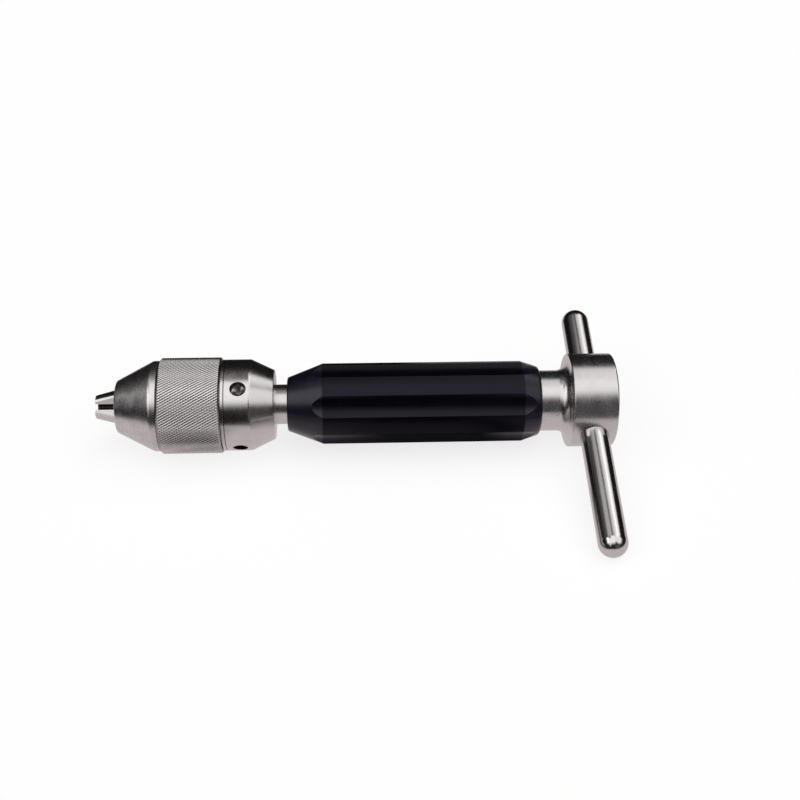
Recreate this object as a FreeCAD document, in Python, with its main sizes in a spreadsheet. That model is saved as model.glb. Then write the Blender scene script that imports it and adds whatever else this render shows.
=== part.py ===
import FreeCAD, Part
import os
import re
import Sketcher
from FreeCAD import Vector

# A three-jaw surgical pin chuck with a fluted grip and a sliding T-bar.
# Millimetres and degrees. The chuck's axis is X, from the nose towards the T-bar, and Z is up.
# The tool lies on its side, on its sleeve, its tail disc and the lower end of the T-bar.
# A bearing is an angle about the axis: 0 points to -Y, 90 points up.

SIZES = {
    # nose of the core
    "nose_face_place": 1.1,
    "nose_face_radius": 9.08,
    "nose_rounding": 0.9,
    "nose_cone_back": 13.95,
    "land_step": 0.98,
    "land_length": 2.15,
    "land_rounding": 2.0,
    # walls of the core round the ends of the jaw bores
    "guide_wall": 0.825,
    "guide_end_wall": 2.05,
    # central channel for the pin, through every piece on the axis, and its wider throat at both ends
    "channel_radius": 3.25,
    "throat_radius": 3.6,
    # jaws, drawn where they hold a pin of the grip radius
    "jaw_count": 3,
    "jaw_bearing": 100.0,
    "jaw_radius": 3.0,
    "jaw_clearance": 0.05,
    "jaw_tilt": 11.0,
    "jaw_axis_offset": 3.2,
    "jaw_reach": 6.2,
    "jaw_tip_radius": 4.1,
    "jaw_nose_radius": 5.8,
    "jaw_wedge_half_angle": 60.0,
    "jaw_edge_offset": 1.15,
    "jaw_end_chamfer": 0.6,
    "grip_hole_radius": 1.6,
    "closing_travel": 5.4,
    "opening_travel": 8.0,
    # teeth of the two-start thread on jaws and nut
    "tooth_pitch": 1.25,
    "tooth_depth": 0.5,
    # split nut and thrust washer
    "nut_offset": 1.3,
    "nut_length": 4.95,
    "nut_clearance": 0.3,
    "thrust_thickness": 0.7,
    "thrust_side_gap": 0.3,
    "split_gap_angle": 1.2,
    # knurled sleeve
    "sleeve_wall": 2.63,
    "sleeve_clearance": 0.08,
    "sleeve_gap": 0.25,
    "sleeve_front_chamfer": 0.7,
    "sleeve_back_chamfer": 0.5,
    # stop ring
    "ring_step": 0.83,
    "ring_length": 1.15,
    "ring_chamfer": 0.12,
    # rear collar
    "collar_step": 0.83,
    "collar_length": 8.75,
    "collar_cone_length": 8.1,
    "collar_end_radius": 12.1,
    "collar_front_chamfer": 0.2,
    "collar_shoulder_rounding": 1.5,
    "collar_end_rounding": 0.5,
    # tommy-bar holes
    "tommy_count": 4,
    "tommy_bearing": 60.5,
    "tommy_radius": 2.5,
    "tommy_depth": 4.0,
    "tommy_tip_depth": 1.4,
    "tommy_countersink": 0.3,
    "tommy_offset": 4.95,
    # tail of the core and its key
    "tail_wall": 2.5,
    "tail_length": 12.0,
    "socket_depth": 8.0,
    "key_radius": 1.0,
    "key_length": 6.5,
    "key_end_gap": 0.2,
    # spindle
    "spindle_radius": 7.0,
    "spindle_slim_radius": 6.0,
    "neck_length": 4.4,
    "shoulder_depth": 7.5,
    "slip_clearance": 0.05,
    # grip
    "grip_radius": 14.2,
    "grip_length": 88.6,
    "grip_front_wall": 2.4,
    "grip_front_taper": 12.4,
    "grip_back_radius": 12.04,
    "grip_back_taper": 6.5,
    "grip_front_rounding": 0.8,
    "grip_back_rounding": 1.5,
    "flute_count": 6,
    "flute_bearing": 35.3,
    "flute_radius": 8.0,
    "flute_depth": 1.45,
    # hub
    "hub_neck_radius": 10.75,
    "hub_neck_length": 10.2,
    "hub_fillet": 4.0,
    "disc_radius": 16.5,
    "disc_length": 15.6,
    "disc_front_rounding": 0.4,
    "disc_back_rounding": 0.7,
    "hub_socket_depth": 11.1,
    "hub_throat_lead": 1.05,
    # dowels between grip and hub
    "dowel_radius": 1.0,
    "dowel_length": 6.0,
    "dowel_cover": 1.4,
    "dowel_end_gap": 0.2,
    # sliding T-bar
    "bar_radius": 5.0,
    "bar_clearance": 0.05,
    "bar_length": 106.0,
    "bar_shift": 11.4,
    "bar_droop": 11.3,
    "bar_travel": 30.0,
    "bar_back_offset": 7.7,
    # ball detent of the bar
    "track_radius": 1.6,
    "track_depth": 0.8,
    "ball_radius": 1.5,
    "ball_well_radius": 1.7,
    "spring_mean_radius": 1.15,
    "spring_wire_radius": 0.22,
    "spring_pitch": 0.84,
    "spring_end_gap": 0.1,
    "screw_radius": 2.5,
    "screw_length": 4.2,
    "screw_recess": 0.6,
    "screw_key_radius": 1.45,
    "screw_key_depth": 2.0,
}

# Places and lengths that follow from the sizes.
PLACES = {
    "jaw_slope": "tan(jaw_tilt)",
    "jaw_outer_offset": "jaw_axis_offset + jaw_radius / cos(jaw_tilt)",
    "land_back": "nose_cone_back + land_length",
    "nut_front": "land_back + nut_offset",
    "nut_back": "nut_front + nut_length",
    "jaw_back": "nut_back + closing_travel * cos(jaw_tilt)",
    "jaw_bore_end": "jaw_back + opening_travel + nut_clearance",
    "core_radius": "jaw_outer_offset + jaw_clearance + jaw_bore_end * jaw_slope + guide_wall",
    "sleeve_bore_radius": "core_radius + sleeve_clearance",
    "sleeve_radius": "sleeve_bore_radius + sleeve_wall",
    "land_radius": "sleeve_radius - land_step",
    "ring_radius": "sleeve_radius - ring_step",
    "collar_radius": "sleeve_radius - collar_step",
    "sleeve_front": "land_back + sleeve_gap",
    "shoulder_back": "jaw_bore_end + guide_end_wall",
    "sleeve_back": "shoulder_back - sleeve_gap",
    "ring_back": "shoulder_back + ring_length",
    "collar_shoulder": "ring_back + collar_length",
    "collar_back": "collar_shoulder + collar_cone_length",
    "tail_back": "shoulder_back + tail_length",
    "tail_radius": "spindle_radius + tail_wall",
    "socket_floor": "tail_back - socket_depth",
    "tommy_place": "ring_back + tommy_offset",
    "groove_front": "nut_front - sleeve_gap",
    "thrust_front": "nut_back + sleeve_gap",
    "groove_back": "thrust_front + thrust_thickness",
    "nut_front_bore": "jaw_outer_offset + nut_front * jaw_slope + nut_clearance",
    "groove_radius": "nut_front_bore - nut_clearance",
    "thrust_bore": "jaw_outer_offset + groove_back * jaw_slope + nut_clearance",
    "throat_back": "(throat_radius + jaw_radius / cos(jaw_tilt) - jaw_axis_offset) / jaw_slope",
    "thread_front": "nut_front - opening_travel * cos(jaw_tilt)",
    "tooth_step": "tooth_pitch * cos(jaw_tilt)",
    "grip_front": "collar_back + neck_length",
    "grip_front_radius": "spindle_radius + grip_front_wall",
    "grip_back": "grip_front + grip_length",
    "spindle_shoulder": "grip_front + shoulder_depth",
    "dowel_offset": "spindle_slim_radius + dowel_cover + dowel_radius",
    "hub_socket_floor": "grip_back + hub_socket_depth",
    "disc_front": "grip_back + hub_neck_length",
    "disc_back": "disc_front + disc_length",
    "bar_place": "disc_back - bar_back_offset",
    "bar_bore_radius": "bar_radius + bar_clearance",
    "hub_throat_front": "bar_place - bar_bore_radius - hub_throat_lead",
    "track_offset": "bar_radius - track_depth + track_radius",
    "screw_outer": "disc_radius - screw_recess",
    "screw_inner": "screw_outer - screw_length",
    "spring_seat": "sqrt(ball_radius ^ 2 - spring_mean_radius ^ 2)",
    "spring_top": "track_offset + spring_seat + spring_wire_radius + spring_end_gap",
    "spring_length": "screw_inner - spring_top - spring_wire_radius",
}

ORIGIN = ("0", "0", "0")
ALONG_X = "rotationy(90)"
ALONG_Y = "rotationx(-90)"
ALONG_Z = "rotationx(0)"
JAW_TURN = "90 - jaw_bearing"
TOMMY_TURN = "90 - tommy_bearing"
FLUTE_TURN = "90 - flute_bearing"
NO_TURN = "0"


def tied(text):
    """The expression with each size and place named in the sheet that holds it."""
    def full_name(match):
        word = match.group()
        if word in SIZES:
            return "Sizes." + word
        if word in PLACES:
            return "Places." + word
        return word
    return re.sub(r"[a-z][a-z_]*", full_name, text)


def write_sheet(name, cells):
    sheet = doc.addObject("Spreadsheet::Sheet", name)
    for row, (alias, content) in enumerate(cells.items(), start=1):
        sheet.set(f"A{row}", alias)
        sheet.set(f"B{row}", content)
        sheet.setAlias(f"B{row}", alias)
    doc.recompute()
    return sheet


def value(text):
    """What an expression comes to now."""
    return float(sizes.evalExpression(tied(text)))


def bind(thing, **properties):
    for name, text in properties.items():
        thing.setExpression(name, tied(text))


def located(thing, place, turn):
    """Puts an object at a place, turned, with both tied to the sheet."""
    x, y, z = place
    thing.setExpression("Placement", tied(f"placement(vector({x}; {y}; {z}); {turn})"))


def origin_part(body, role):
    return next(part for part in body.Origin.OriginFeatures if part.Role == role)


def new_body(label, turn):
    """An empty body, turned about the chuck's axis by an angle."""
    body = doc.addObject("PartDesign::Body", label)
    body.Label = label
    located(body, ORIGIN, f"rotationx({turn})")
    return body


def outline(body, name, loops, plane="XY_Plane", spine=None):
    """A sketch of closed loops whose corners are pairs of expressions. A spine is where an axis stands."""
    sketch = body.newObject("Sketcher::SketchObject", name)
    sketch.AttachmentSupport = (origin_part(body, plane), [""])
    sketch.MapMode = "FlatFace"
    rules = []
    bound = []

    def tie_point(line, end, corner):
        for kind, axis, text in (("DistanceX", -2, corner[0]), ("DistanceY", -1, corner[1])):
            if text == "0":
                rules.append(Sketcher.Constraint("PointOnObject", line, end, axis))
            else:
                bound.append((len(rules), text))
                rules.append(Sketcher.Constraint(kind, -1, 1, line, end, value(text)))

    for loop in loops:
        first = sketch.GeometryCount
        corners = [Vector(value(x), value(y), 0) for x, y in loop]
        for number, corner in enumerate(corners):
            sketch.addGeometry(Part.LineSegment(corner, corners[(number + 1) % len(corners)]))
        for number, corner in enumerate(loop):
            after = (number + 1) % len(loop)
            rules.append(Sketcher.Constraint("Coincident", first + number, 2, first + after, 1))
            tie_point(first + number, 1, corner)
    if spine:
        line = sketch.GeometryCount
        ends = [(spine, "0"), (spine, "1")]
        sketch.addGeometry(Part.LineSegment(*[Vector(value(x), value(y), 0) for x, y in ends]), True)
        for end, corner in enumerate(ends, start=1):
            tie_point(line, end, corner)
    sketch.addConstraint(rules)
    for number, text in bound:
        sketch.setExpression(f"Constraints[{number}]", tied(text))
    return sketch


def turned(label, loop, turn=NO_TURN, angle="360"):
    """A body turned on a lathe about the chuck's axis from its half outline of (place, radius) corners."""
    body = new_body(label, turn)
    sketch = outline(body, label + "_outline", [loop])
    solid = body.newObject("PartDesign::Revolution", label + "_turning")
    solid.Profile = sketch
    solid.ReferenceAxis = (sketch, ["H_Axis"])
    bind(solid, Angle=angle)
    doc.recompute()
    return body


def feature(body, kind, name, place, turn, **sizes_of_it):
    """A primitive added to or cut from a body."""
    solid = body.newObject("PartDesign::" + kind, name)
    bind(solid, **sizes_of_it)
    located(solid, place, turn)
    doc.recompute()
    return solid


def pocket_through(body, name, sketch):
    """Cuts a sketch through the whole body, both ways."""
    cut = body.newObject("PartDesign::Pocket", name)
    cut.Profile = sketch
    cut.Type = "ThroughAll"
    cut.SideType = "Symmetric"
    doc.recompute()
    return cut


def repeated(body, cuts, count):
    """Repeats cuts evenly about the chuck's axis."""
    pattern = body.newObject("PartDesign::PolarPattern", body.Label + "_pattern")
    pattern.Originals = cuts
    pattern.Axis = (origin_part(body, "X_Axis"), [""])
    pattern.Angle = 360
    bind(pattern, Occurrences=count)
    body.Tip = pattern
    doc.recompute()
    return pattern


def rims(shape, place, radius):
    """Names of the round edges about the chuck's axis at a place, with a radius."""
    names = []
    for number, edge in enumerate(shape.Edges, start=1):
        if not isinstance(edge.Curve, Part.Circle):
            continue
        if abs(edge.Curve.Center.x - place) < 1e-4 and abs(edge.Curve.Radius - radius) < 1e-4:
            names.append(f"Edge{number}")
    return names


def rounded(body, place, radius, rounding, kind="Fillet"):
    """Rounds or chamfers one rim of a turned body."""
    base = body.Tip
    edges = rims(base.Shape, value(place), value(radius))
    if not edges:
        raise RuntimeError(f"{body.Label} has no rim at {place}, {radius}")
    edge_cut = body.newObject("PartDesign::" + kind, f"{body.Label}_{rounding}")
    edge_cut.Base = (base, edges)
    size_name = "Radius" if kind == "Fillet" else "Size"
    bind(edge_cut, **{size_name: rounding})
    doc.recompute()
    return edge_cut


def jaw_cylinder(body, kind, name, front, back, radius):
    """A cylinder along a jaw's own tilted axis, in the plane of X and Z, between two places."""
    place = (front, "0", f"jaw_axis_offset + ({front}) * jaw_slope")
    length = f"({back} - ({front})) / cos(jaw_tilt)"
    return feature(body, kind, name, place, "rotationy(90 - jaw_tilt)", Radius=radius, Height=length)


def make_core():
    """Nose, guide of the jaws and tail, with the groove for the nut."""
    body = turned("chuck_core", [
        ("nose_face_place", "throat_radius"),
        ("nose_face_place", "nose_face_radius"),
        ("nose_cone_back", "land_radius"),
        ("land_back", "land_radius"),
        ("land_back", "core_radius"),
        ("groove_front", "core_radius"),
        ("groove_front", "groove_radius"),
        ("groove_back", "groove_radius"),
        ("groove_back", "core_radius"),
        ("shoulder_back", "core_radius"),
        ("shoulder_back", "tail_radius"),
        ("tail_back", "tail_radius"),
        ("tail_back", "spindle_radius"),
        ("socket_floor", "spindle_radius"),
        ("socket_floor", "channel_radius"),
        ("throat_back", "channel_radius"),
        ("throat_back", "throat_radius"),
    ], JAW_TURN)
    rounded(body, "nose_face_place", "nose_face_radius", "nose_rounding")
    rounded(body, "nose_cone_back", "land_radius", "land_rounding")
    bore = jaw_cylinder(body, "SubtractiveCylinder", "jaw_bore", "-jaw_reach", "jaw_bore_end",
                        "jaw_radius + jaw_clearance")
    repeated(body, [bore], "jaw_count")
    key_slot(body)
    return body


def key_slot(body):
    """The half round slot for the key, in the core's socket or in the spindle."""
    feature(body, "SubtractiveCylinder", body.Label + "_key_slot",
            ("tail_back - key_length - key_end_gap", "0", "spindle_radius"), ALONG_X,
            Radius="key_radius", Height="key_length + 2 * key_end_gap")


def make_jaw(number):
    """One jaw: a round rod with two flats that meet its neighbours, a pin groove, and teeth behind."""
    label = f"jaw_{number + 1}"
    body = new_body(label, f"{JAW_TURN} + {number} * 360 / jaw_count")
    rod = jaw_cylinder(body, "AdditiveCylinder", label + "_rod", "-2 * jaw_reach", "jaw_back", "jaw_radius")
    back_rim = [
        f"Edge{index}" for index, edge in enumerate(rod.Shape.Edges, start=1)
        if isinstance(edge.Curve, Part.Circle) and edge.Curve.Center.x > 0
    ]
    chamfer = body.newObject("PartDesign::Chamfer", label + "_end_chamfer")
    chamfer.Base = (rod, back_rim)
    bind(chamfer, Size="jaw_end_chamfer")
    doc.recompute()

    reach_out = "3 * jaw_radius"
    wedge_side = f"jaw_edge_offset + {reach_out} / tan(jaw_wedge_half_angle)"
    wedge = outline(body, label + "_wedge", [[
        ("0", "jaw_edge_offset"),
        (reach_out, wedge_side),
        (reach_out, f"-{reach_out}"),
        (f"-{reach_out}", f"-{reach_out}"),
        (f"-{reach_out}", wedge_side),
    ]], "YZ_Plane")
    pocket_through(body, label + "_flats", wedge)
    feature(body, "SubtractiveCylinder", label + "_pin_groove", ("-2 * jaw_reach", "0", "0"), ALONG_X,
            Radius="grip_hole_radius", Height="2 * jaw_reach + jaw_back")
    grind_jaw_tip(body)
    cut_jaw_teeth(body)
    return body


def grind_jaw_tip(body):
    """Turns the jaw's nose to a cone about the chuck's axis, and faces its tip."""
    tip = "-jaw_reach"
    slope = "(jaw_nose_radius - jaw_tip_radius) / jaw_reach"
    far = "4 * jaw_radius"
    sketch = outline(body, body.Label + "_tip_outline", [[
        ("-2 * jaw_reach - 1", "0"),
        (tip, "0"),
        (tip, "jaw_tip_radius"),
        ("jaw_reach", f"jaw_nose_radius + {slope} * jaw_reach"),
        ("jaw_reach", far),
        ("-2 * jaw_reach - 1", far),
    ]], "XZ_Plane")
    spin_cut(body, body.Label + "_tip", sketch)


def spin_cut(body, name, sketch):
    """Cuts a sketch from a body, turned about the chuck's axis."""
    cut = body.newObject("PartDesign::Groove", name)
    cut.Profile = sketch
    cut.ReferenceAxis = (sketch, ["H_Axis"])
    cut.Angle = 360
    doc.recompute()


def tooth_notch(number, start, root):
    """One notch of the thread: its place along the jaw's outer line, cut in to the tooth depth."""
    middle = f"({start} + {number + 0.5} * tooth_step)"
    half = "0.4 * tooth_step"
    return [
        (f"{middle} - {half}", f"{root} + ({middle} - {half}) * jaw_slope + 0.5 * tooth_depth"),
        (middle, f"{root} + {middle} * jaw_slope - tooth_depth"),
        (f"{middle} + {half}", f"{root} + ({middle} + {half}) * jaw_slope + 0.5 * tooth_depth"),
    ]


def cut_jaw_teeth(body):
    """The thread's notches over the length that passes the nut."""
    count = int(value("(jaw_back - jaw_end_chamfer - thread_front) / tooth_step"))
    notches = [tooth_notch(number, "thread_front", "jaw_outer_offset") for number in range(count)]
    sketch = outline(body, body.Label + "_tooth_outline", notches, "XZ_Plane")
    spin_cut(body, body.Label + "_teeth", sketch)


def make_sleeve():
    return turned("knurled_sleeve", [
        ("sleeve_front", "sleeve_bore_radius"),
        ("sleeve_front", "sleeve_radius - sleeve_front_chamfer"),
        ("sleeve_front + sleeve_front_chamfer", "sleeve_radius"),
        ("sleeve_back - sleeve_back_chamfer", "sleeve_radius"),
        ("sleeve_back", "sleeve_radius - sleeve_back_chamfer"),
        ("sleeve_back", "sleeve_bore_radius"),
    ])


def half_turn(number):
    """The turn and angle of one half of a ring that is split in two."""
    return f"{number} * 180 + split_gap_angle / 2", "180 - split_gap_angle"


def make_nut_half(number, letter):
    """Half of the split nut, with the thread's notches in its cone bore."""
    turn, angle = half_turn(number)
    count = int(value("nut_length / tooth_step"))
    thread = []
    for notch in range(count):
        start, _, end = tooth_notch(notch, "nut_front", "jaw_outer_offset")
        middle = f"(nut_front + {notch + 0.5} * tooth_step)"
        bore = "jaw_outer_offset + nut_clearance"
        thread.append((start[0], f"{bore} + ({start[0]}) * jaw_slope"))
        thread.append((middle, f"{bore} + {middle} * jaw_slope + tooth_depth"))
        thread.append((end[0], f"{bore} + ({end[0]}) * jaw_slope"))
    loop = [
        ("nut_front", "sleeve_bore_radius"),
        ("nut_front", "nut_front_bore"),
        *thread,
        ("nut_back", "nut_front_bore + nut_length * jaw_slope"),
        ("nut_back", "sleeve_bore_radius"),
    ]
    return turned(f"nut_half_{letter}", loop, turn, angle)


def make_thrust_half(number, letter):
    turn, angle = half_turn(number)
    return turned(f"thrust_half_{letter}", [
        ("thrust_front", "thrust_bore"),
        ("thrust_front", "sleeve_bore_radius - thrust_side_gap"),
        ("groove_back", "sleeve_bore_radius - thrust_side_gap"),
        ("groove_back", "thrust_bore"),
    ], turn, angle)


def make_ring():
    return turned("stop_ring", [
        ("shoulder_back", "tail_radius"),
        ("shoulder_back", "ring_radius - ring_chamfer"),
        ("shoulder_back + ring_chamfer", "ring_radius"),
        ("ring_back - ring_chamfer", "ring_radius"),
        ("ring_back", "ring_radius - ring_chamfer"),
        ("ring_back", "tail_radius"),
    ])


def make_collar():
    """Rear collar with its cone and the tommy-bar holes."""
    body = turned("rear_collar", [
        ("ring_back", "tail_radius"),
        ("ring_back", "collar_radius - collar_front_chamfer"),
        ("ring_back + collar_front_chamfer", "collar_radius"),
        ("collar_shoulder", "collar_radius"),
        ("collar_back", "collar_end_radius"),
        ("collar_back", "spindle_radius"),
        ("tail_back", "spindle_radius"),
        ("tail_back", "tail_radius"),
    ], TOMMY_TURN)
    rounded(body, "collar_shoulder", "collar_radius", "collar_shoulder_rounding")
    rounded(body, "collar_back", "collar_end_radius", "collar_end_rounding")
    floor = "collar_radius - tommy_depth"
    hole = feature(body, "SubtractiveCylinder", "tommy_hole", ("tommy_place", "0", floor), ALONG_Z,
                   Radius="tommy_radius", Height="2 * tommy_depth")
    tip = feature(body, "SubtractiveCone", "tommy_tip",
                  ("tommy_place", "0", f"{floor} - tommy_tip_depth"), ALONG_Z,
                  Radius1="0", Radius2="tommy_radius", Height="tommy_tip_depth")
    mouth = feature(body, "SubtractiveCone", "tommy_mouth",
                    ("tommy_place", "0", "collar_radius - 2 * tommy_countersink"), ALONG_Z,
                    Radius1="tommy_radius - tommy_countersink",
                    Radius2="tommy_radius + 2 * tommy_countersink", Height="3 * tommy_countersink")
    repeated(body, [hole, tip, mouth], "tommy_count")
    return body


def make_key():
    body = new_body("key_pin", JAW_TURN)
    feature(body, "AdditiveCylinder", "key_rod", ("tail_back - key_length", "0", "spindle_radius"), ALONG_X,
            Radius="key_radius", Height="key_length")
    return body


def make_spindle():
    """The hollow shaft from the core's socket to the hub's."""
    body = turned("spindle", [
        ("socket_floor", "channel_radius"),
        ("socket_floor", "spindle_radius"),
        ("spindle_shoulder", "spindle_radius"),
        ("spindle_shoulder", "spindle_slim_radius"),
        ("hub_socket_floor", "spindle_slim_radius"),
        ("hub_socket_floor", "channel_radius"),
    ], JAW_TURN)
    key_slot(body)
    return body


def dowel_place(number):
    """Where one of the two dowels stands, on opposite sides of the axis."""
    side = 1 - 2 * number
    return "grip_back - dowel_length / 2", f"{side} * dowel_offset"


def dowel_holes(body):
    for number in range(2):
        start, height = dowel_place(number)
        feature(body, "SubtractiveCylinder", f"{body.Label}_dowel_hole_{number + 1}",
                (f"{start} - dowel_end_gap", "0", height), ALONG_X,
                Radius="dowel_radius", Height="dowel_length + 2 * dowel_end_gap")


def make_grip():
    """Fluted grip on the spindle, held between the spindle's shoulder and the hub."""
    body = turned("grip", [
        ("grip_front", "spindle_radius + slip_clearance"),
        ("grip_front", "grip_front_radius"),
        ("grip_front + grip_front_taper", "grip_radius"),
        ("grip_back - grip_back_taper", "grip_radius"),
        ("grip_back", "grip_back_radius"),
        ("grip_back", "spindle_slim_radius + slip_clearance"),
        ("spindle_shoulder", "spindle_slim_radius + slip_clearance"),
        ("spindle_shoulder", "spindle_radius + slip_clearance"),
    ], FLUTE_TURN)
    rounded(body, "grip_front", "grip_front_radius", "grip_front_rounding")
    rounded(body, "grip_back", "grip_back_radius", "grip_back_rounding")
    flute = feature(body, "SubtractiveCylinder", "flute",
                    ("grip_front - 1", "0", "grip_radius - flute_depth + flute_radius"), ALONG_X,
                    Radius="flute_radius", Height="grip_length + 2")
    repeated(body, [flute], "flute_count")
    dowel_holes(body)
    return body


def make_dowel(number, letter):
    body = new_body(f"grip_dowel_{letter}", FLUTE_TURN)
    start, height = dowel_place(number)
    feature(body, "AdditiveCylinder", f"dowel_rod_{letter}", (start, "0", height), ALONG_X,
            Radius="dowel_radius", Height="dowel_length")
    return body


def make_hub():
    """Neck and disc, with the spindle's socket, the bar's cross bore and the well of the ball."""
    body = turned("hub", [
        ("grip_back", "spindle_slim_radius"),
        ("grip_back", "hub_neck_radius"),
        ("disc_front", "hub_neck_radius"),
        ("disc_front", "disc_radius"),
        ("disc_back", "disc_radius"),
        ("disc_back", "throat_radius"),
        ("hub_throat_front", "throat_radius"),
        ("hub_throat_front", "channel_radius"),
        ("hub_socket_floor", "channel_radius"),
        ("hub_socket_floor", "spindle_slim_radius"),
    ], "bar_droop")
    rounded(body, "disc_front", "hub_neck_radius", "hub_fillet")
    rounded(body, "disc_front", "disc_radius", "disc_front_rounding")
    rounded(body, "disc_back", "disc_radius", "disc_back_rounding")
    feature(body, "SubtractiveCylinder", "bar_bore", ("bar_place", "-2 * disc_radius", "0"), ALONG_Y,
            Radius="bar_bore_radius", Height="4 * disc_radius")
    feature(body, "SubtractiveCylinder", "ball_well", ("bar_place", "0", "-screw_inner"), ALONG_Z,
            Radius="ball_well_radius", Height="screw_inner")
    feature(body, "SubtractiveCylinder", "screw_hole", ("bar_place", "0", "-disc_radius - 1"), ALONG_Z,
            Radius="screw_radius", Height="disc_radius + 1 - screw_inner")
    hub_dowel_holes(body)
    return body


def hub_dowel_holes(body):
    """The grip's dowels stand at the grip's own bearing, which differs from the hub's."""
    for number in range(2):
        start, height = dowel_place(number)
        turn = f"({FLUTE_TURN} - bar_droop)"
        place = (f"{start} - dowel_end_gap", f"-({height}) * sin{turn}", f"({height}) * cos{turn}")
        feature(body, "SubtractiveCylinder", f"hub_dowel_hole_{number + 1}", place, ALONG_X,
                Radius="dowel_radius", Height="dowel_length + 2 * dowel_end_gap")


def make_bar():
    """The sliding bar with round ends, a cross hole for the pin and a track for the ball."""
    body = new_body("t_bar", "bar_droop")
    half = "(bar_length / 2 - bar_radius)"
    feature(body, "AdditiveCylinder", "bar_rod", ("bar_place", f"-bar_shift - {half}", "0"), ALONG_Y,
            Radius="bar_radius", Height=f"2 * {half}")
    for name, side in (("near", "-"), ("far", "+")):
        feature(body, "AdditiveSphere", f"bar_{name}_end", ("bar_place", f"-bar_shift {side} {half}", "0"),
                ALONG_Z, Radius="bar_radius")
    feature(body, "SubtractiveCylinder", "bar_cross_hole", ("bar_place - 2 * bar_radius", "-bar_shift", "0"),
            ALONG_X, Radius="throat_radius", Height="4 * bar_radius")
    reach = "(bar_travel + track_radius)"
    track_start = ("bar_place", f"-bar_shift - {reach}", "-track_offset")
    feature(body, "SubtractiveCylinder", "ball_track", track_start, ALONG_Y,
            Radius="track_radius", Height=f"2 * {reach}")
    return body


def make_ball():
    ball = doc.addObject("Part::Sphere", "detent_ball")
    ball.Label = "detent_ball"
    bind(ball, Radius="ball_radius")
    located(ball, ("bar_place", "track_offset * sin(bar_droop)", "-track_offset * cos(bar_droop)"), ALONG_Z)
    return ball


def make_spring():
    """The small coil spring under the ball."""
    body = new_body("detent_spring", "bar_droop")
    sketch = outline(body, "spring_wire", [], "XZ_Plane", spine="bar_place")
    wire = sketch.addGeometry(Part.Circle(
        Vector(value("bar_place + spring_mean_radius"), -value("spring_top"), 0), Vector(0, 0, 1),
        value("spring_wire_radius")))
    for kind, text in (("DistanceX", "bar_place + spring_mean_radius"), ("DistanceY", "-spring_top")):
        rule = sketch.addConstraint(Sketcher.Constraint(kind, -1, 1, wire, 3, value(text)))
        sketch.setExpression(f"Constraints[{rule}]", tied(text))
    rule = sketch.addConstraint(Sketcher.Constraint("Radius", wire, value("spring_wire_radius")))
    sketch.setExpression(f"Constraints[{rule}]", tied("spring_wire_radius"))
    coil = body.newObject("PartDesign::AdditiveHelix", "spring_coil")
    coil.Profile = sketch
    coil.ReferenceAxis = (sketch, ["Axis0"])
    coil.Mode = "pitch-height-angle"
    coil.Reversed = True
    bind(coil, Height="spring_length", Pitch="spring_pitch")
    doc.recompute()
    return body


def make_screw():
    """The set screw that backs the spring, with a hexagon key socket."""
    body = new_body("detent_screw", "bar_droop")
    feature(body, "AdditiveCylinder", "screw_rod", ("bar_place", "0", "-screw_outer"), ALONG_Z,
            Radius="screw_radius", Height="screw_length")
    feature(body, "SubtractivePrism", "screw_socket", ("bar_place", "0", "-screw_outer"), ALONG_Z,
            Circumradius="screw_key_radius", Height="screw_key_depth")
    return body


def check_and_write(parts):
    """Every object has to be sound before anything is written."""
    doc.recompute()
    for thing in doc.Objects:
        if "Invalid" in thing.State or "Error" in thing.State:
            raise RuntimeError(f"{thing.Label} is in state {thing.State}")
    for part in parts:
        if part.Shape.isNull() or not part.Shape.isValid():
            raise RuntimeError(f"{part.Label} has no sound shape")
    os.makedirs("parts", exist_ok=True)
    for part in parts:
        part.Shape.exportStep(f"parts/{part.Label}.step")


doc = FreeCAD.newDocument("pin_chuck")
sizes = write_sheet("Sizes", {alias: str(number) for alias, number in SIZES.items()})
write_sheet("Places", {alias: "=" + tied(text) for alias, text in PLACES.items()})

HALVES = ((0, "a"), (1, "b"))
check_and_write([
    make_core(),
    *[make_jaw(number) for number in range(SIZES["jaw_count"])],
    make_sleeve(),
    *[make_nut_half(*half) for half in HALVES],
    *[make_thrust_half(*half) for half in HALVES],
    make_ring(),
    make_collar(),
    make_key(),
    make_spindle(),
    make_grip(),
    *[make_dowel(*half) for half in HALVES],
    make_hub(),
    make_bar(),
    make_ball(),
    make_spring(),
    make_screw(),
])
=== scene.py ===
import math

import bmesh
import bpy
import numpy as np
from mathutils import Matrix, Vector


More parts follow.
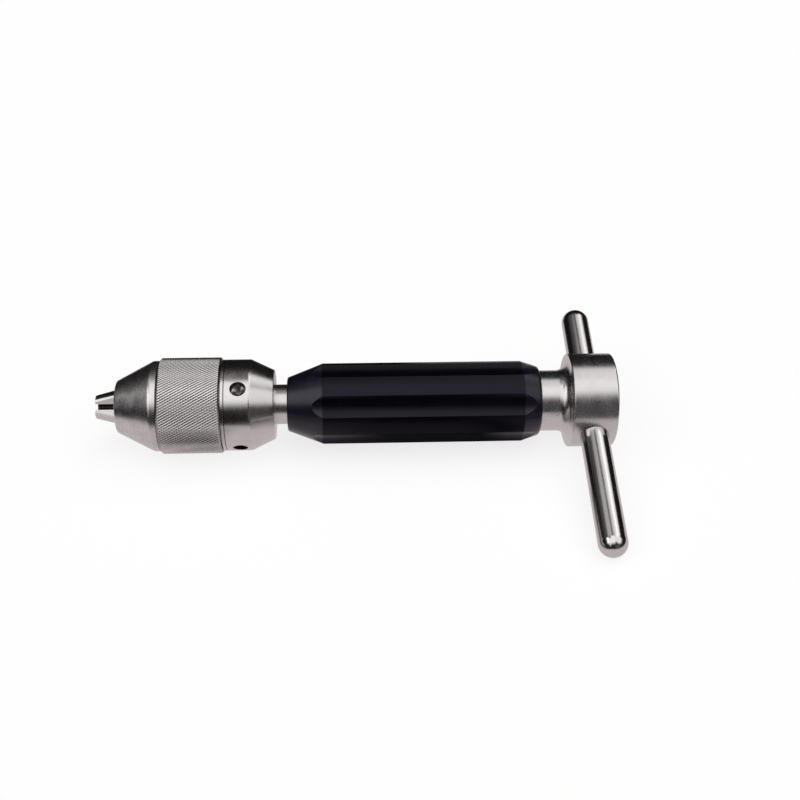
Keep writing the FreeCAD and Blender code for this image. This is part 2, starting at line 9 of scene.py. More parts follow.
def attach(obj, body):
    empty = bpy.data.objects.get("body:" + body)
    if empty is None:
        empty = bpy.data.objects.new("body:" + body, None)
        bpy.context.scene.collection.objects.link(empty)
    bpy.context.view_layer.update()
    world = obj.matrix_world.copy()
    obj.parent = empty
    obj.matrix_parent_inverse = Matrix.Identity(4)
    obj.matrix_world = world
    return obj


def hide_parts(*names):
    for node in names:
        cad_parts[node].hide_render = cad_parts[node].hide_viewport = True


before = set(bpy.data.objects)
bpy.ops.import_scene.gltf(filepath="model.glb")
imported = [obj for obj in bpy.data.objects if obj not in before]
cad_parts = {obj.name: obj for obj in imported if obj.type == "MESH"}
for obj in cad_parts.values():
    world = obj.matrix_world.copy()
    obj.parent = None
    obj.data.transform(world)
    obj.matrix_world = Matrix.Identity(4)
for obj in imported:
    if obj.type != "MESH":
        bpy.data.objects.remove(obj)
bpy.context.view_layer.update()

# A surgical pin chuck with a sliding T-bar, lying on a pale table.
#
# Blender works in metres and in the CAD's frame: X is the chuck's axis, from the nose to the T-bar,
# and Z is up. Lengths named here are in millimetres, and are multiplied by MM. Angles are in
# degrees. A bearing turns about the axis: 0 points to -Y, at the front, and 90 points up.
#
# Some names hold what Graph.window or Graph.ramp takes after its value:
#   a window is its start, its end and the softness of both;
#   a ramp is its start and end, and then, where they aren't 0 and 1, its results there.

MM = 0.001

# camera, fitted to the rims and corners of the object in the photograph
IMAGE_SIDE = 800.0
FOCAL_PIXELS = 1204.42
SENSOR_WIDTH = 36.0
CAMERA_AZIMUTH = 3.38245
CAMERA_ELEVATION = 40.31395
CAMERA_ROLL = 1.35079
CAMERA_DISTANCE = 427.41
CAMERA_TARGET = (99.997, 1.3955, 0.0)
CLIP_NEAR = 10.0
CLIP_FAR = 20000.0

# knurled sleeve, with the places of its CAD solid and a hair less than its radius
SLEEVE_FRONT = 16.35
SLEEVE_BACK = 37.75
SLEEVE_RADIUS = 16.82
SLEEVE_BORE = 14.20
SLEEVE_FRONT_CHAMFER = 0.70
SLEEVE_BACK_CHAMFER = 0.50

# knurl: grooves of one family round the sleeve, cells along it, and columns of cells to a groove
KNURL_LINES = 108
KNURL_ROWS = 50
KNURL_STEPS = 4
KNURL_RISING_DEPTH = 0.19
KNURL_FALLING_DEPTH = 0.05
# the share of a groove's width that stays at full height
KNURL_FLAT = 0.35

# rear collar and its holes
COLLAR_RADIUS = 16.00
COLLAR_FRONT = 39.15
HOLE_PLACE = 44.10
HOLE_FLOOR_RADIUS = 13.80

# jaws: the flats on their sides, and the bevels between those and the outer face. A jaw's own axis
# stands JAW_AXIS_HEIGHT from the chuck's at the nose face. A slope is a rise per millimetre of X.
JAW_BEARINGS = (100.0, -20.0, 220.0)
NOSE_FACE = 1.1
JAW_AXIS_HEIGHT = 3.41
JAW_HALF_WIDTH = 2.30
JAW_SIDE_SLOPE = 0.0274
JAW_BEVEL = 54.0
JAW_BEVEL_REACH = 2.91
JAW_BEVEL_SLOPE = 0.320
JAW_MERGE_DISTANCE = 0.001
JAW_SMOOTH_ANGLE = 18.0

# colours, linear
BLACK = (0.0, 0.0, 0.0)
WHITE = (1.0, 1.0, 1.0)
STEEL = (0.66, 0.635, 0.64)
JAW_STEEL = (0.66, 0.645, 0.645)
BAR_STEEL = (0.66, 0.64, 0.64)
INNER_STEEL = (0.50, 0.50, 0.50)
BRONZE = (0.62, 0.42, 0.22)
GRIP_LAND_COLORS = ((0.0012, 0.0012, 0.0018), (0.0026, 0.0025, 0.0036))
# the tapers: black plastic painted lighter and bluer than the land, a painted sheen for the blue of
# their highlights
GRIP_TAPER_COLORS_AND_SHEEN = ((0.0045, 0.0040, 0.0095), (0.0105, 0.0095, 0.0200))
GRIP_GLOSS_TINT = (0.76, 0.71, 1.0)
FLOOR_COLOR = (0.32, 0.318, 0.318)
CARD_LIGHT = (1.0, 0.925, 0.930)
ROOM_LIGHT = (1.0, 0.985, 0.98)

# how many times a millimetre a texture changes: on X, Y and Z, or along and round a turned piece
TURNED_ALONG = 4.5
TURNED_AROUND = 0.12
COARSE_TURNED = (1.6, 0.25, 0.25)
ALONG_JAW = (0.4, 3.5, 3.5)
ALONG_BAR = (2.6, 0.05, 2.6)
METAL_CLOUD = (0.22, 0.22, 0.22)
METAL_GRAIN = (3.0, 3.0, 3.0)
GRIP_MILLED = (0.05, 3.2, 3.2)
GRIP_TURNED = (4.0, 0.1, 0.1)
GRIP_CLOUD = (0.12, 0.3, 0.3)
GRIP_GRAIN = (5.0, 5.0, 5.0)
# the span that holds most of what a noise gives
NOISE_SPAN = (0.3, 0.7)
# how deep the grain of a metal is, as a share of its tool marks
GRAIN_DEPTH_SHARE = 0.4

# knurl: the radii between which groove turns to crest, the painted highlight on the crests, the
# painted shade in the grooves, and the roughness of both
CREST_EDGE = (SLEEVE_RADIUS - KNURL_RISING_DEPTH, SLEEVE_RADIUS - 0.04)
CREST_PAINTED_HIGHLIGHT = 1.10
GROOVE_PAINTED_SHADE = 0.55
GROOVE_TO_CREST_ROUGHNESS = (0.26, 0.20)

# jaws: the painted shade, near black, round the pin's hole, and the distances from the axis between
# which it fades
PAINTED_SLOT_SHADE = 0.05
PAINTED_SLOT_SHADE_EDGE = (2.1, 2.9)

# collar: the painted shade in the seam by the ring and inside the holes, and how much of the
# steel's colour each keeps
SEAM = (COLLAR_FRONT - 0.05, COLLAR_FRONT + 0.20, 0.04)
SEAM_PAINTED_SHADE = 0.25
HOLE_SPAN = (HOLE_PLACE - 2.7, HOLE_PLACE + 2.7, 0.05)
HOLE_BELOW_SURFACE = (COLLAR_RADIUS - 0.35, COLLAR_RADIUS - 0.10, 1.0, 0.0)
HOLE_ABOVE_FLOOR = (HOLE_FLOOR_RADIUS + 0.10, HOLE_FLOOR_RADIUS + 0.35)
HOLE_FLOOR_TO_WALL_PAINTED_SHADE = (0.85, 0.03)

# grip: the fluted cylinder between the tapers, and its gloss
GRIP_MIDDLE = (72.6, 142.7, 0.25)
GRIP_GLOSS = (0.1, 0.9, 0.24, 0.33)
GRIP_SPECULAR = 0.27
GRIP_TAPER_COAT = 0.46
GRIP_COAT_ROUGHNESS = 0.26
GRIP_MARK_DEPTH = 0.004
GRIP_GRAIN_DEPTH = 0.0012

# The room's light, by where it comes from: an angle, from the front horizon at 0 over the top at
# 90 to the horizon behind at 180, and a reach, which is the direction's part along X.
ROOM_STRENGTH = 0.008
OVERHEAD_STRENGTH = 1.25
OVERHEAD_REACH = (-0.80, 0.80, 0.07)
OVERHEAD_NEAR_EDGE = (28.0, 54.0)
OVERHEAD_FAR_EDGE = (98.0, 109.0, 1.0, 0.0)
# where the overhead's near edge stands further back, for grip and hub, or nearer, for the jaws
NEAR_EDGE_CUT_BACK = (0.08, 0.36, 0.06)
NEAR_EDGE_CUT_BACK_BY = 13.0
NEAR_EDGE_PULLED_IN = (-0.60, -0.46, 0.04)
NEAR_EDGE_PULLED_IN_BY = 21.0
# towards the tail its far edge comes so many degrees sooner, and it is a little dimmer
FAR_EDGE_CUT_SHORT = (-0.05, 0.03, 0.0, 8.0)
OVERHEAD_TAIL_DIMMING = (0.0, 0.17, 1.0, 0.92)
# towards the nose its end is brighter, and the part that the jaws' outer faces show is shorter
OVERHEAD_BRIGHT_END = (-0.85, -0.66, 0.04)
OVERHEAD_BRIGHT_END_GAIN = 0.6
OVERHEAD_SHORT_REACH = (-0.57, -0.40, 0.04)
OVERHEAD_SHORT_ANGLE = (83.0, 91.0)
# the softbox behind, which grows brighter along its reach
BEHIND_ANGLE = (96.0, 127.0, 5.0)
BEHIND_REACH = (-0.02, 0.46, 0.05)
BEHIND_STRENGTH = (0.05, 0.42, 0.70, 1.40)
# smaller ones, each with its windows of angle and of reach, and its strength: for the collar's
# rear cone, for the T-bar's far side, faint and strong, and for what faces the front
SMALL_SOFTBOXES = (
    ((96.0, 134.0, 5.0), (0.42, 0.66, 0.04), 1.20),
    ((102.0, 140.0, 9.0), (-0.85, -0.05, 0.05), 0.07),
    ((105.0, 121.0, 4.0), (-0.60, -0.18, 0.07), 0.48),
    ((-25.0, 30.0, 8.0), (0.10, 0.72, 0.05), 0.08),
)

# the table, and the glowing card with painted light that stands in for it in reflections
FLOOR_HEIGHT = -16.84
FLOOR_GLOW = 0.79
CARD_DROP = 0.05
CARD_STRENGTH = (0.0, 1.0, 0.010, 0.66)
# the painted pools of light on the card, as windows of X and of Y: below the chuck, the T-bar and
# the grip
CARD_CHUCK = ((-80.0, 82.0, 16.0), (-110.0, 55.0, 45.0))
CARD_BAR = ((136.0, 270.0, 8.0), (-190.0, 150.0, 60.0))
CARD_GRIP = ((84.0, 134.0, 12.0), (-75.0, -16.0, 10.0))
CARD_GRIP_SHARE = 0.45
# the painted shadow that dims it again: the place in front of the knurl
CARD_KNURL = ((14.0, 36.0, 3.0), (-72.0, -17.0, 9.0))
CARD_KNURL_PAINTED_SHADOW = 0.60
# how far the T-bar's light is moved towards the nose, by Y: at the back, and less in front
CARD_BAR_MOVED_BACK = (25.0, 45.0, 0.0, 24.0)
CARD_BAR_MOVED_FRONT = (-27.0, -15.0, -11.0, 0.0)

# sheets of the stage
STAGE_CENTRE = 90.0
TABLE_RADIUS = 2500.0
TABLE_SIDES = 96
DOME_RADIUS = 2450.0
DOME_RINGS = 24
DOME_SIDES = 48


class Graph:
    """Builds a node tree with short calls. A value is a number, a tuple or a node's socket."""

    def __init__(self, tree):
        self.tree = tree
        tree.nodes.clear()

    def node(self, kind, **settings):
        made = self.tree.nodes.new(kind)
        for name, setting in settings.items():
            setattr(made, name, setting)
        return made

    def plug(self, socket, value):
        """Links the value to a socket where it is a socket itself, or else sets it there."""
        if isinstance(value, bpy.types.NodeSocket):
            self.tree.links.new(value, socket)
        else:
            socket.default_value = value

    def math(self, operation, *values):
        made = self.node("ShaderNodeMath", operation=operation)
        for socket, value in zip(made.inputs, values):
            self.plug(socket, value)
        return made.outputs[0]

    def total(self, *terms):
        result = terms[0]
        for term in terms[1:]:
            result = self.math("ADD", result, term)
        return result

    def product(self, *factors):
        result = factors[0]
        for factor in factors[1:]:
            result = self.math("MULTIPLY", result, factor)
        return result

    def rest_of(self, share):
        """What a share leaves of the whole."""
        return self.math("SUBTRACT", 1.0, share)

    def weighted(self, first, second, share):
        """The mean of two values, in which the first has this share."""
        return self.total(self.product(first, share), self.product(second, 1.0 - share))

    def ramp(self, value, start, end, low=0.0, high=1.0, smooth=True):
        """The value's share between start and end, carried to the span from low to high."""
        kind = "SMOOTHSTEP" if smooth else "LINEAR"
        made = self.node("ShaderNodeMapRange", interpolation_type=kind)
        made.inputs["From Min"].default_value = start
        made.inputs["From Max"].default_value = end
        made.inputs["To Min"].default_value = low
        made.inputs["To Max"].default_value = high
        self.plug(made.inputs["Value"], value)
        return made.outputs["Result"]

    def window(self, value, start, end, soft):
        """One between start and end, fading to nothing over twice the soft width at each."""
        rise = self.ramp(value, start - soft, start + soft)
        fall = self.ramp(value, end - soft, end + soft, 1.0, 0.0)
        return self.product(rise, fall)

    def blend(self, share, first, second):
        """The first colour where the share is zero, and the second where it is one."""
        made = self.node("ShaderNodeMix", data_type="RGBA")
        self.plug(made.inputs["Factor"], share)
        self.plug(made.inputs["A"], first)
        self.plug(made.inputs["B"], second)
        return made.outputs["Result"]

    def split(self, vector):
        made = self.node("ShaderNodeSeparateXYZ")
        self.plug(made.inputs[0], vector)
        return made.outputs

    def position(self, stretch=(1.0, 1.0, 1.0)):
        """The object's own place in millimetres, stretched along each axis."""
        coordinate = self.node("ShaderNodeTexCoord")
        mapping = self.node("ShaderNodeMapping")
        self.plug(mapping.inputs["Vector"], coordinate.outputs["Object"])
        mapping.inputs["Scale"].default_value = [factor / MM for factor in stretch]
        return mapping.outputs["Vector"]

    def distance(self, across, up):
        return self.math("SQRT", self.total(self.product(across, across), self.product(up, up)))

    def along_and_off_axis(self):
        """The place along the chuck's axis and the distance from it, in millimetres."""
        along, across, up = self.split(self.position())
        return along, self.distance(across, up)

    def turned(self):
        """A place that changes quickly along the axis and outwards, and slowly round the axis."""
        along, across, up = self.split(self.position())
        made = self.node("ShaderNodeCombineXYZ")
        self.plug(made.inputs[0], self.product(along, TURNED_ALONG))
        self.plug(made.inputs[1], self.product(self.distance(across, up), TURNED_ALONG))
        self.plug(made.inputs[2], self.product(self.total(across, up), TURNED_AROUND))
        return made.outputs[0]

    def noise(self, vector, detail, roughness=0.6):
        made = self.node("ShaderNodeTexNoise")
        made.inputs["Scale"].default_value = 1.0
        made.inputs["Detail"].default_value = detail
        made.inputs["Roughness"].default_value = roughness
        self.plug(made.inputs["Vector"], vector)
        return made.outputs["Fac"]

    def bump(self, height, depth, normal=None):
        """Relief of a depth in millimetres, on top of the relief that a normal already holds."""
        made = self.node("ShaderNodeBump")
        made.inputs["Distance"].default_value = depth * MM
        self.plug(made.inputs["Height"], height)
        if normal is not None:
            self.plug(made.inputs["Normal"], normal)
        return made.outputs["Normal"]


def shade(color, factor=1.0):
    return tuple(channel * factor for channel in color) + (1.0,)


def new_material(name):
    """A material with an untouched surface shader."""
    material = bpy.data.materials.new(name)
    material.use_nodes = True
    graph = Graph(material.node_tree)
    shader = graph.node("ShaderNodeBsdfPrincipled")
    output = graph.node("ShaderNodeOutputMaterial")
    graph.plug(output.inputs["Surface"], shader.outputs[0])
    return material, graph, shader


def metal(name, color, tool_depth, roughness=None, tool_marks=None, mottle=0.06, spread=0.05):
    """A machined metal: marks left by the tool, cloudy patches and small changes of gloss.
    It is turned where no tool marks are given, and its gloss is left to the caller where no
    roughness is. Also returned is the socket that holds its colour."""
    material, graph, shader = new_material(name)
    place = graph.position(tool_marks) if tool_marks else graph.turned()
    marks = graph.noise(place, detail=3.0)
    cloud = graph.noise(graph.position(METAL_CLOUD), detail=4.0)
    grain = graph.noise(graph.position(METAL_GRAIN), detail=2.0, roughness=0.5)
    worn = graph.ramp(graph.weighted(cloud, marks, share=0.6), *NOISE_SPAN)
    tone = graph.blend(worn, shade(color, 1.0 - mottle), shade(color, 1.0 + mottle))
    graph.plug(shader.inputs["Base Color"], tone)
    shader.inputs["Metallic"].default_value = 1.0
    if roughness is not None:
        patches = graph.weighted(cloud, grain, share=0.5)
        gloss = graph.ramp(patches, *NOISE_SPAN, roughness - spread, roughness + spread)
        graph.plug(shader.inputs["Roughness"], gloss)
    fine = graph.bump(grain, tool_depth * GRAIN_DEPTH_SHARE)
    graph.plug(shader.inputs["Normal"], graph.bump(marks, tool_depth, fine))
    return material, graph, shader, tone


def knurl_material():
    """The sleeve's steel, duller down in the grooves, with painted shade darkening the grooves and
    a painted highlight brightening the crests.
    """
    # the crests are painted lighter than the steel: a painted highlight
    highlighted_crest_steel = shade(STEEL, CREST_PAINTED_HIGHLIGHT)[:3]
    material, graph, shader, worn = metal("knurl_steel", highlighted_crest_steel, tool_depth=0.0015)
    _, radius = graph.along_and_off_axis()
    crest = graph.ramp(radius, *CREST_EDGE)
    # painted shade darkens the steel down in the grooves
    color = graph.blend(crest, shade(STEEL, GROOVE_PAINTED_SHADE), worn)
    graph.plug(shader.inputs["Base Color"], color)
    gloss = graph.ramp(crest, 0.0, 1.0, *GROOVE_TO_CREST_ROUGHNESS)
    graph.plug(shader.inputs["Roughness"], gloss)
    return material


def jaw_material():
    """The jaws' ground steel, with painted shade, near black, round the hole that holds the pin."""
    material, graph, shader, worn = metal("jaw_steel", JAW_STEEL, tool_depth=0.0015,
                                          roughness=0.20, tool_marks=ALONG_JAW)
    _, radius = graph.along_and_off_axis()
    # painted shade: near the axis, deep in the slot between the jaws, the steel is painted near
    # black
    unshaded = graph.ramp(radius, *PAINTED_SLOT_SHADE_EDGE)
    color = graph.blend(unshaded, shade(STEEL, PAINTED_SLOT_SHADE), worn)
    graph.plug(shader.inputs["Base Color"], color)
    return material


def collar_material():
    """The steel of ring and collar, with painted shade in the seam between them and on the walls of
    the holes.
    """
    material, graph, shader, worn = metal("collar_steel", STEEL, tool_depth=0.0014,
                                          roughness=0.22)
    along, radius = graph.along_and_off_axis()
    # painted shade in the seam between ring and collar
    seam = graph.window(along, *SEAM)
    steel = graph.blend(seam, worn, shade(STEEL, SEAM_PAINTED_SHADE))
    # painted shade on the walls of the holes, lighter towards their floors
    wall = graph.ramp(radius, *HOLE_ABOVE_FLOOR)
    depth = graph.ramp(wall, 0.0, 1.0, *HOLE_FLOOR_TO_WALL_PAINTED_SHADE, smooth=False)
    dark = graph.blend(depth, shade(BLACK), worn)
    by_hole = graph.window(along, *HOLE_SPAN)
    inside = graph.product(by_hole, graph.ramp(radius, *HOLE_BELOW_SURFACE))
    graph.plug(shader.inputs["Base Color"], graph.blend(inside, steel, dark))
    return material


def grip_material():
    """Black satin plastic: milled lengthwise on the fluted cylinder, and turned on both tapers,
    whose colour holds a painted bluish sheen.
    """
    material, graph, shader = new_material("grip_black")
    along = graph.split(graph.position())[0]
    middle = graph.window(along, *GRIP_MIDDLE)
    milled = graph.noise(graph.position(GRIP_MILLED), detail=3.0)
    turned = graph.noise(graph.position(GRIP_TURNED), detail=3.0)
    cloud = graph.noise(graph.position(GRIP_CLOUD), detail=4.0)
    grain = graph.noise(graph.position(GRIP_GRAIN), detail=2.0)
    marks = graph.total(graph.product(middle, milled),
                        graph.product(graph.rest_of(middle), turned))
    patch = graph.ramp(graph.weighted(cloud, marks, share=0.6), *NOISE_SPAN)
    land = graph.blend(patch, *(shade(color) for color in GRIP_LAND_COLORS))
    # painted sheen: the tapers' colour is lighter and bluer than the land's
    taper_and_sheen = graph.blend(patch, *(shade(color) for color in GRIP_TAPER_COLORS_AND_SHEEN))
    graph.plug(shader.inputs["Base Color"], graph.blend(middle, taper_and_sheen, land))
    gloss = graph.ramp(graph.weighted(patch, grain, share=0.7), *GRIP_GLOSS)
    graph.plug(shader.inputs["Roughness"], gloss)
    coat = graph.ramp(middle, 0.0, 1.0, GRIP_TAPER_COAT, 0.0, smooth=False)
    graph.plug(shader.inputs["Coat Weight"], coat)
    shader.inputs["Coat Roughness"].default_value = GRIP_COAT_ROUGHNESS
    shader.inputs["Specular IOR Level"].default_value = GRIP_SPECULAR
    shader.inputs["Specular Tint"].default_value = shade(GRIP_GLOSS_TINT)
    fine = graph.bump(grain, GRIP_GRAIN_DEPTH)
    graph.plug(shader.inputs["Normal"], graph.bump(marks, GRIP_MARK_DEPTH, fine))
    return material


def dress(piece, material):
    """Gives a piece one material."""
    if not piece.material_slots:
        piece.data.materials.append(material)
    for slot in piece.material_slots:
        slot.link = "OBJECT"
        slot.material = material


def dress_nodes():
    """Gives every CAD node its finish, and returns the finishes by the names of the nodes."""
    nose = metal("nose_steel", STEEL, tool_depth=0.006, roughness=0.28,
                 tool_marks=COARSE_TURNED, mottle=0.13)[0]
    jaws = jaw_material()
    collar = collar_material()
    shaft = metal("spindle_steel", STEEL, tool_depth=0.002, roughness=0.27)[0]
    tail = metal("hub_steel", STEEL, tool_depth=0.0013, roughness=0.25)[0]
    bar = metal("bar_steel", BAR_STEEL, tool_depth=0.0012, roughness=0.17,
                tool_marks=ALONG_BAR, mottle=0.05, spread=0.03)[0]
    inner = metal("nut_steel", INNER_STEEL, tool_depth=0.002, roughness=0.30)[0]
    bronze = metal("bronze", BRONZE, tool_depth=0.002, roughness=0.32)[0]
    finish = {
        "chuck_core": nose,
        "jaw_1": jaws,
        "jaw_2": jaws,
        "jaw_3": jaws,
        "knurled_sleeve": collar,
        "stop_ring": collar,
        "rear_collar": collar,
        "spindle": shaft,
        "grip": grip_material(),
        "hub": tail,
        "t_bar": bar,
        "nut_half_a": inner,
        "nut_half_b": inner,
        "thrust_half_a": bronze,
        "thrust_half_b": bronze,
        "key_pin": inner,
        "grip_dowel_a": inner,
        "grip_dowel_b": inner,
        "detent_ball": inner,
        "detent_spring": inner,
        "detent_screw": inner,
    }
    for name, material in finish.items():
        dress(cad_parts[name], material)
    return finish


def add_object(name, data):
    """A new object of the scene that shows the data."""
    made = bpy.data.objects.new(name, data)
    bpy.context.scene.collection.objects.link(made)
    return made


def add_mesh(name, points, faces):
    """A new mesh object, from points in metres."""
    mesh = bpy.data.meshes.new(name)
    mesh.from_pydata(points, [], faces)
    mesh.validate()
    mesh.update()
    return add_object(name, mesh)


def knurl_radius(columns, rows):
    """The sleeve's outer radius where a column and a row of the grid meet, in millimetres."""
    def groove(phase):
        nearness = np.abs(2.0 * np.mod(phase / KNURL_STEPS, 1.0) - 1.0)
        return np.clip((nearness - KNURL_FLAT) / (1.0 - KNURL_FLAT), 0.0, 1.0)
    cut = np.maximum(KNURL_RISING_DEPTH * groove(columns - rows),
                     KNURL_FALLING_DEPTH * groove(columns + rows))
    length = SLEEVE_BACK - SLEEVE_FRONT
    from_front = rows / KNURL_ROWS * length
    front_limit = SLEEVE_RADIUS - SLEEVE_FRONT_CHAMFER + from_front
    back_limit = SLEEVE_RADIUS - SLEEVE_BACK_CHAMFER + (length - from_front)
    return np.minimum(SLEEVE_RADIUS - cut, np.minimum(front_limit, back_limit))


def sleeve_points(columns, rows, radius):
    """Points round the axis, in metres."""
    angle = 2.0 * np.pi * columns / (KNURL_LINES * KNURL_STEPS)
    place = SLEEVE_FRONT + rows / KNURL_ROWS * (SLEEVE_BACK - SLEEVE_FRONT)
    points = np.stack([place, -radius * np.cos(angle), radius * np.sin(angle)], axis=-1)
    return points.reshape(-1, 3) * MM


def knurled_sleeve():
    """The sleeve as a closed tube whose outside is cut by two families of crossing grooves.
    Each cell has a middle point, so that both families run along edges of the mesh."""
    around = KNURL_LINES * KNURL_STEPS
    rows, columns = np.meshgrid(np.arange(KNURL_ROWS + 1.0), np.arange(float(around)),
                                indexing="ij")
    corners = sleeve_points(columns, rows, knurl_radius(columns, rows))
    middle_rows, middle_columns = rows[:-1] + 0.5, columns[:-1] + 0.5
    middles = sleeve_points(middle_columns, middle_rows,
                            knurl_radius(middle_columns, middle_rows))
    bore_front = sleeve_points(columns[0], rows[0], SLEEVE_BORE)
    bore_back = sleeve_points(columns[0], rows[-1], SLEEVE_BORE)
    points = np.concatenate([corners, middles, bore_front, bore_back])

    middles_start = len(corners)
    front_start = middles_start + len(middles)
    back_start = front_start + around
    last_row = KNURL_ROWS * around
    faces = []
    for row in range(KNURL_ROWS):
        for column in range(around):
            after = (column + 1) % around
            a = row * around + column
            b = row * around + after
            c = b + around
            d = a + around
            middle = middles_start + a
            faces += [(a, b, middle), (b, c, middle), (c, d, middle), (d, a, middle)]
    for column in range(around):
        after = (column + 1) % around
        front, front_after = front_start + column, front_start + after
        back, back_after = back_start + column, back_start + after
        faces.append((column, front, front_after, after))
        faces.append((last_row + column, last_row + after, back_after, back))
        faces.append((front, back, back_after, front_after))
    return add_mesh("sleeve_knurl", points.tolist(), faces)


def cut_flat(shape, place, normal):
    """Takes off what lies beyond a plane, whose place is in millimetres, and closes the cut."""
    normal = normal.normalized()
    geometry = shape.verts[:] + shape.edges[:] + shape.faces[:]
    cut = bmesh.ops.bisect_plane(shape, geom=geometry, plane_co=place * MM, plane_no=normal,
                                 clear_outer=True)
    rim = [part for part in cut["geom_cut"] if isinstance(part, bmesh.types.BMEdge)]
    bmesh.ops.triangle_fill(shape, use_beauty=True, edges=rim, normal=normal)


def ground_jaw(number, bearing):
    """A jaw with flat ground sides and a narrow bevel along both outer edges."""
    along = Vector((1.0, 0.0, 0.0))
    outward = Vector((0.0, -math.cos(bearing), math.sin(bearing)))
    bevel = math.radians(JAW_BEVEL)
    shape = bmesh.new()
    shape.from_mesh(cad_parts[f"jaw_{number}"].data)
    bmesh.ops.remove_doubles(shape, verts=shape.verts, dist=JAW_MERGE_DISTANCE * MM)
    for side in (-1.0, 1.0):
        sideways = Vector((0.0, math.sin(bearing), math.cos(bearing))) * side
        place = along * NOSE_FACE + sideways * JAW_HALF_WIDTH
        cut_flat(shape, place, sideways - along * JAW_SIDE_SLOPE)
        across = outward * math.cos(bevel) + sideways * math.sin(bevel)
        place = along * NOSE_FACE + outward * JAW_AXIS_HEIGHT + across * JAW_BEVEL_REACH
        cut_flat(shape, place, across - along * math.cos(bevel) * JAW_BEVEL_SLOPE)
    bmesh.ops.recalc_face_normals(shape, faces=shape.faces)
    smooth_angle = math.radians(JAW_SMOOTH_ANGLE)
    for edge in shape.edges:
        edge.smooth = edge.is_manifold and edge.calc_face_angle(0.0) < smooth_angle
    for face in shape.faces:
        face.smooth = True
    mesh = bpy.data.meshes.new(f"ground_jaw_{number}")
    shape.to_mesh(mesh)
    shape.free()
    return add_object(f"ground_jaw_{number}", mesh)


def make_camera():
    azimuth = math.radians(CAMERA_AZIMUTH)
    elevation = math.radians(CAMERA_ELEVATION)
    roll = math.radians(CAMERA_ROLL)
    look = Vector((math.sin(azimuth) * math.cos(elevation),
                   math.cos(azimuth) * math.cos(elevation),
                   -math.sin(elevation)))
    level = look.cross(Vector((0.0, 0.0, 1.0))).normalized()
    above = level.cross(look)
    right = level * math.cos(roll) + above * math.sin(roll)
    up = above * math.cos(roll) - level * math.sin(roll)
    eye = (Vector(CAMERA_TARGET) - look * CAMERA_DISTANCE) * MM
    data = bpy.data.cameras.new("camera")
    data.sensor_width = SENSOR_WIDTH
    data.lens = FOCAL_PIXELS / IMAGE_SIDE * SENSOR_WIDTH
    data.clip_start = CLIP_NEAR * MM
    data.clip_end = CLIP_FAR * MM
    camera = add_object("camera", data)
    camera.matrix_world = Matrix((
        (right.x, up.x, -look.x, eye.x),
        (right.y, up.y, -look.y, eye.y),
        (right.z, up.z, -look.z, eye.z),
        (0.0, 0.0, 0.0, 1.0),
    ))
    bpy.context.scene.camera = camera


def overhead_light(graph, angle, reach):
    """The long softbox over the tool. Its edges and strength vary along its reach."""
    near_shift = graph.total(
        graph.product(graph.window(reach, *NEAR_EDGE_CUT_BACK), -NEAR_EDGE_CUT_BACK_BY),
        graph.product(graph.window(reach, *NEAR_EDGE_PULLED_IN), NEAR_EDGE_PULLED_IN_BY))
    near_edge = graph.ramp(graph.total(angle, near_shift), *OVERHEAD_NEAR_EDGE)
    far_shift = graph.ramp(reach, *FAR_EDGE_CUT_SHORT)
    far_edge = graph.ramp(graph.total(angle, far_shift), *OVERHEAD_FAR_EDGE)
    bright_end = graph.product(graph.window(reach, *OVERHEAD_BRIGHT_END), OVERHEAD_BRIGHT_END_GAIN)
    cut_short = graph.product(graph.window(reach, *OVERHEAD_SHORT_REACH),
                              graph.ramp(angle, *OVERHEAD_SHORT_ANGLE))
    return graph.product(near_edge, far_edge, graph.window(reach, *OVERHEAD_REACH),
                         graph.total(1.0, bright_end), graph.ramp(reach, *OVERHEAD_TAIL_DIMMING),
                         graph.rest_of(cut_short), OVERHEAD_STRENGTH)


def make_studio_light():
    """A dark room with a long softbox overhead, one behind the tool and four smaller ones."""
    world = bpy.data.worlds.new("studio")
    bpy.context.scene.world = world
    world.use_nodes = True
    graph = Graph(world.node_tree)
    direction = graph.node("ShaderNodeTexCoord").outputs["Generated"]
    reach, depth, height = graph.split(direction)
    angle = graph.math("DEGREES", graph.math("ARCTAN2", height, graph.product(depth, -1.0)))
    behind = graph.product(graph.window(angle, *BEHIND_ANGLE), graph.window(reach, *BEHIND_REACH),
                           graph.ramp(reach, *BEHIND_STRENGTH))
    small = [graph.product(graph.window(angle, *angles), graph.window(reach, *reaches), strength)
             for angles, reaches, strength in SMALL_SOFTBOXES]
    strength = graph.total(ROOM_STRENGTH, overhead_light(graph, angle, reach), behind, *small)
    background = graph.node("ShaderNodeBackground")
    background.inputs["Color"].default_value = shade(ROOM_LIGHT)
    graph.plug(background.inputs["Strength"], strength)
    output = graph.node("ShaderNodeOutputWorld")
    graph.plug(output.inputs["Surface"], background.outputs[0])


def round_sheet(name, height):
    """A flat round sheet of the stage, level with the table."""
    points = []
    for side in range(TABLE_SIDES):
        turn = 2.0 * math.pi * side / TABLE_SIDES
        points.append(((TABLE_RADIUS * math.cos(turn) + STAGE_CENTRE) * MM,
                       TABLE_RADIUS * math.sin(turn) * MM, height * MM))
    return add_mesh(name, points, [tuple(range(TABLE_SIDES))])


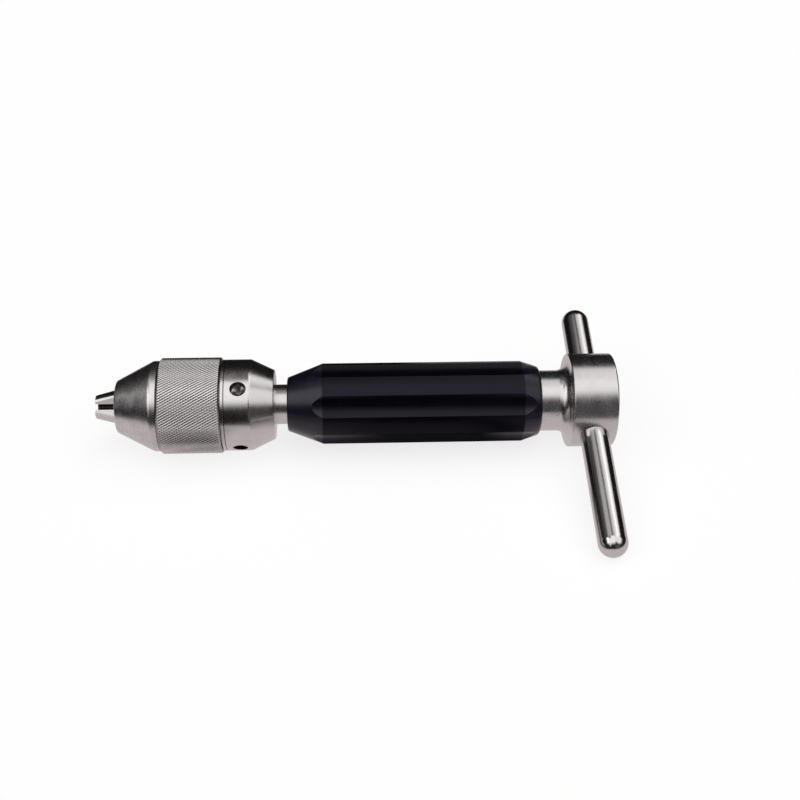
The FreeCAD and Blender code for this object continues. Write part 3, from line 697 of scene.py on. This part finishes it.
def dome(name):
    """A hollow ball round the stage, of level rings from its lowest point to its highest."""
    points = []
    for ring in range(DOME_RINGS + 1):
        lift = math.pi * (ring / DOME_RINGS - 0.5)
        for side in range(DOME_SIDES):
            turn = 2.0 * math.pi * side / DOME_SIDES
            points.append(((DOME_RADIUS * math.cos(lift) * math.cos(turn) + STAGE_CENTRE) * MM,
                           DOME_RADIUS * math.cos(lift) * math.sin(turn) * MM,
                           DOME_RADIUS * math.sin(lift) * MM))
    faces = []
    for ring in range(DOME_RINGS):
        below, above = ring * DOME_SIDES, (ring + 1) * DOME_SIDES
        for side in range(DOME_SIDES):
            after = (side + 1) % DOME_SIDES
            faces.append((below + side, below + after, above + after, above + side))
    return add_mesh(name, points, faces)


def stage_sheet(sheet, unseen_by, color, light):
    """Gives a sheet of the stage a matt material that glows, and hides it from kinds of rays."""
    material, graph, shader = new_material(sheet.name)
    shader.inputs["Base Color"].default_value = shade(color)
    shader.inputs["Roughness"].default_value = 1.0
    shader.inputs["Specular IOR Level"].default_value = 0.0
    shader.inputs["Emission Color"].default_value = shade(light)
    dress(sheet, material)
    for ray in unseen_by:
        setattr(sheet, f"visible_{ray}", False)
    return material, graph, shader.inputs["Emission Strength"]


def make_floor():
    """A pale table top, softly shadowed. Reflections show the card in its place."""
    sheet = round_sheet("floor", FLOOR_HEIGHT)
    _, _, glow = stage_sheet(sheet, ("glossy", "diffuse"), FLOOR_COLOR, WHITE)
    glow.default_value = FLOOR_GLOW


def make_table_card():
    """What the metal reflects in place of the table: a glowing sheet with painted pools of light
    and a painted shadow.
    """
    sheet = round_sheet("table_card", FLOOR_HEIGHT - CARD_DROP)
    material, graph, glow = stage_sheet(sheet, ("camera", "diffuse", "shadow"), BLACK, CARD_LIGHT)
    x, y, _ = graph.split(graph.position())

    def painted_pool(x_window, y_window, place=x):
        return graph.product(graph.window(place, *x_window), graph.window(y, *y_window))
    moved = graph.total(x, graph.ramp(y, *CARD_BAR_MOVED_BACK),
                        graph.ramp(y, *CARD_BAR_MOVED_FRONT))
    # painted light on the card: pools below chuck, T-bar and grip, less a painted shadow in front
    # of the knurl
    light = graph.total(painted_pool(*CARD_CHUCK), graph.product(painted_pool(*CARD_KNURL), -CARD_KNURL_PAINTED_SHADOW),
                        painted_pool(*CARD_BAR, moved), graph.product(painted_pool(*CARD_GRIP), CARD_GRIP_SHARE))
    graph.plug(glow, graph.ramp(light, *CARD_STRENGTH, smooth=False))
    material.cycles.emission_sampling = "NONE"


def make_backdrop():
    """A pale dome far round the table, seen by the camera alone."""
    hidden_from = ("diffuse", "glossy", "transmission", "shadow")
    material, _, glow = stage_sheet(dome("backdrop"), hidden_from, BLACK, WHITE)
    glow.default_value = 1.0
    material.cycles.emission_sampling = "NONE"


make_camera()
make_studio_light()
make_floor()
make_table_card()
make_backdrop()
finish = dress_nodes()

for number, degrees in enumerate(JAW_BEARINGS, start=1):
    jaw = ground_jaw(number, math.radians(degrees))
    dress(jaw, finish[f"jaw_{number}"])
    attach(jaw, f"jaw_{number}")
    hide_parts(f"jaw_{number}")

sleeve = knurled_sleeve()
dress(sleeve, knurl_material())
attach(sleeve, "sleeve")
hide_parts("knurled_sleeve")

scene = bpy.context.scene
scene.view_settings.view_transform = "Standard"
scene.view_settings.look = "None"
